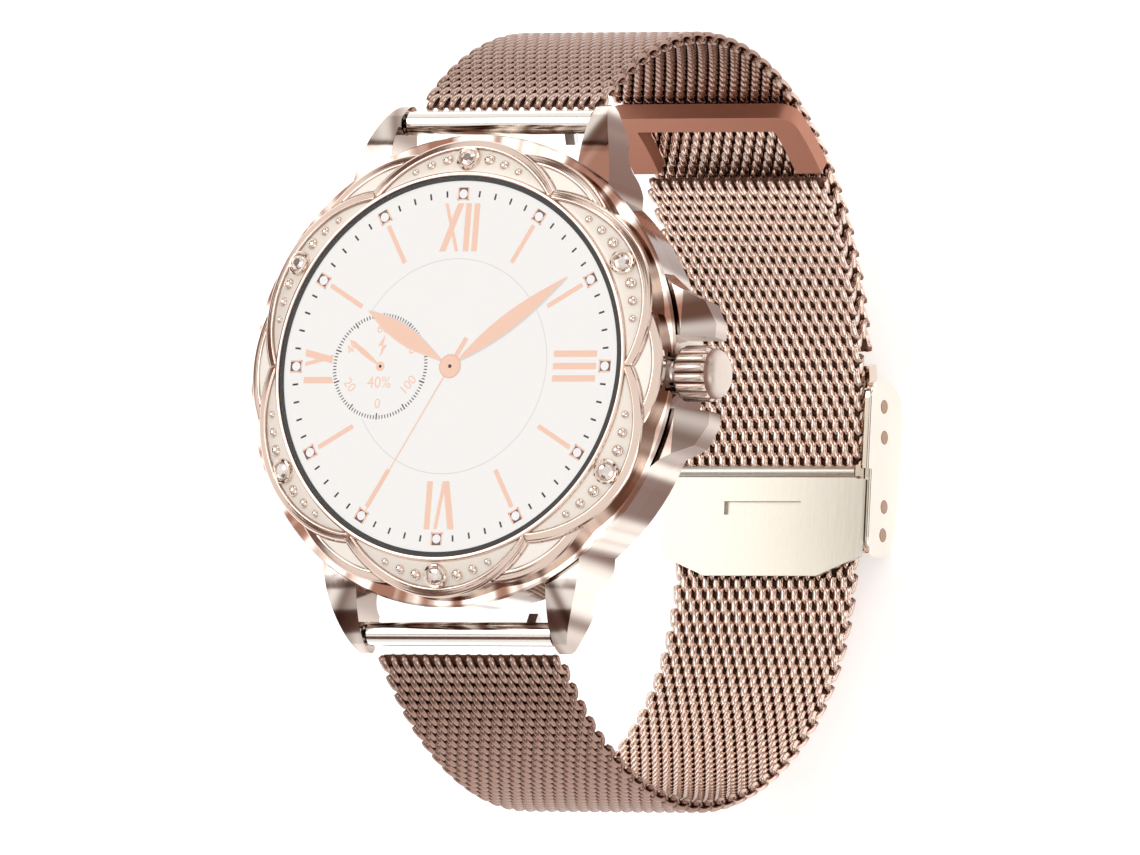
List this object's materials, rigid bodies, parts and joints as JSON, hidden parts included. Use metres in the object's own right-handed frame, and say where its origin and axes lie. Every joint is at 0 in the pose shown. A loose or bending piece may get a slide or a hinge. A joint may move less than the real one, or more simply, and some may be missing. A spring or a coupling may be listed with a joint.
{
  "type": "smartwatch",
  "caption": "Round smartwatch with a petal bezel, a press-and-turn crown and a woven mesh bracelet closed by a sliding fold-over clasp.",
  "frame": {"origin": "centre of the sensor window's outer face on the case back", "axes": "+Z out of the dial, +Y towards 12 o'clock, +X towards 3 o'clock and the crown"},
  "size_m": [0.0455, 0.0682, 0.0661],
  "materials": {
    "rose_steel": "polished rose gold plating on steel",
    "rose_brushed": "brushed pale rose gold plating on steel",
    "mesh_steel": "woven wire, rose gold plating",
    "stone": "clear cut stone",
    "cover_glass": "clear, polished",
    "screen": "lit display with a white dial",
    "tray": "pressed sheet",
    "seal_black": "moulded",
    "carrier_black": "moulded",
    "sensor_black": "dark tinted, polished",
    "led": "clear lenses",
    "board_green": "solder mask",
    "chip_black": "moulded packages",
    "cell_grey": "foil pouch",
    "motor_steel": "drawn can",
    "gold_contact": "gold plated",
    "spring_steel": "spring wire",
    "bright_steel": "turned"
  },
  "bodies": {
    "case": {"mid_case": "rose_steel", "bezel_ring": "rose_steel", "stone_settings": "rose_steel", "bezel_stones": "stone", "crystal": "cover_glass", "crystal_gasket": "seal_black", "display_panel": "screen", "display_tray": "tray", "case_back": "rose_brushed", "case_back_screws": "bright_steel", "back_gasket": "seal_black", "sensor_window": "sensor_black", "sensor_leds": "led", "sensor_board": "board_green", "charging_contacts": "gold_contact", "inner_carrier": "carrier_black", "battery": "cell_grey", "vibration_motor": "motor_steel", "main_board": "board_green", "board_chips": "chip_black", "crown_switch": "chip_black", "crown_tube": "bright_steel", "crown_spring": "spring_steel"},
    "plunger": {"stem_collar": "carrier_black", "switch_button": "carrier_black"},
    "crown_body": {"crown": "rose_steel", "crown_cap": "rose_steel", "crown_stem": "bright_steel", "stem_clip": "spring_steel", "crown_seal": "seal_black"},
    "upper_strap": {"upper_mesh": "mesh_steel", "upper_end_tube": "rose_steel", "upper_spring_bar": "bright_steel", "upper_bar_spring": "spring_steel", "hook_end": "rose_steel"},
    "upper_release": {"upper_release_lever": "bright_steel"},
    "lower_strap": {"lower_mesh": "mesh_steel", "lower_end_tube": "rose_steel", "lower_spring_bar": "bright_steel", "lower_bar_spring": "spring_steel", "tail_loop": "rose_steel", "clasp_base": "rose_steel", "lock_hinge_pin": "bright_steel", "cover_hinge_pin": "rose_steel", "clasp_crossbar": "rose_steel"},
    "lower_release": {"lower_release_lever": "bright_steel"},
    "clasp_cover_body": {"clasp_cover": "rose_steel", "cover_rivets": "rose_steel"},
    "lock_plate_body": {"lock_plate": "rose_brushed"}
  },
  "joints": [
    {"name": "crown_press", "type": "slide", "parent": "case", "child": "plunger", "axis": [-1, 0, 0], "range_m": [0, 0.0006], "stiffness_N_per_m": 2500, "springref_m": -0.0002},
    {"name": "crown_spin", "type": "hinge", "parent": "plunger", "child": "crown_body", "pos_m": [0.0208, 0, 0.0073], "axis": [1, 0, 0], "continuous": true},
    {"name": "upper_strap_swing", "type": "hinge", "parent": "case", "child": "upper_strap", "pos_m": [0, 0.0224, 0.0052], "axis": [1, 0, 0], "range_deg": [0, 30]},
    {"name": "lower_strap_swing", "type": "hinge", "parent": "case", "child": "lower_strap", "pos_m": [0, -0.0224, 0.0052], "axis": [-1, 0, 0], "range_deg": [0, 15]},
    {"name": "upper_release_slide", "type": "slide", "parent": "upper_strap", "child": "upper_release", "axis": [-1, 0, 0], "range_m": [0, 0.0012], "stiffness_N_per_m": 900, "springref_m": -0.0005},
    {"name": "lower_release_slide", "type": "slide", "parent": "lower_strap", "child": "lower_release", "axis": [-1, 0, 0], "range_m": [0, 0.0012], "stiffness_N_per_m": 900, "springref_m": -0.0005},
    {"name": "clasp_cover_open", "type": "hinge", "parent": "lower_strap", "child": "clasp_cover_body", "pos_m": [0, -0.00446, -0.05162], "axis": [-1, 0, 0], "range_deg": [0, 90]},
    {"name": "lock_plate_lift", "type": "hinge", "parent": "lower_strap", "child": "lock_plate_body", "pos_m": [0, 0.0006, -0.048], "axis": [-1, 0, 0], "range_deg": [0, 50]}
  ],
  "couplings": [
    {"joint": "lower_strap_swing", "follows": "upper_strap_swing", "ratio": 0.5}
  ]
}
